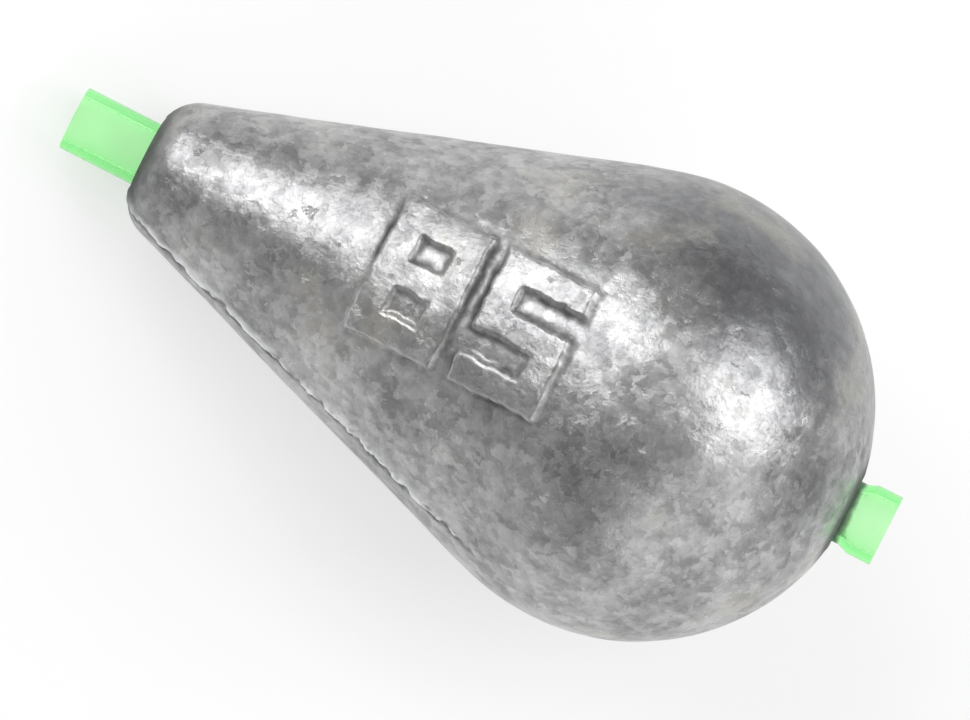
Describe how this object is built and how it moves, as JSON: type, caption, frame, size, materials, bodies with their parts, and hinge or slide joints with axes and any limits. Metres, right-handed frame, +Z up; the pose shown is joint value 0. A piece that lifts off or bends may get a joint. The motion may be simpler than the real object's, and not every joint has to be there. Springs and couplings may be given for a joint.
{
  "type": "fishing sinker",
  "caption": "Pear-shaped in-line fishing sinker of cast lead with a soft plastic tube through it for the line to run in.",
  "frame": {"origin": "on the table, under the middle of the box round the part", "axes": "+Z up from the table that the sinker lies on; +X from the nose towards the tail; +Y to the side, across the line axis; the line axis lies in the XZ plane and climbs from the nose to the tail"},
  "size_m": [0.0426, 0.0228, 0.0222],
  "materials": {
    "lead": "as-cast lead, dull grey and mottled, with a soft sheen on the high spots",
    "tube_plastic": "soft translucent light green plastic, cut square at both ends"
  },
  "bodies": {
    "lead": {"lead_body": "lead"},
    "liner": {"line_tube": "tube_plastic"}
  },
  "joints": [
    {"name": "liner_slide", "type": "slide", "parent": "lead", "child": "liner", "axis": [0.9499, 0, 0.3126], "range_m": [0, 0.042]}
  ]
}
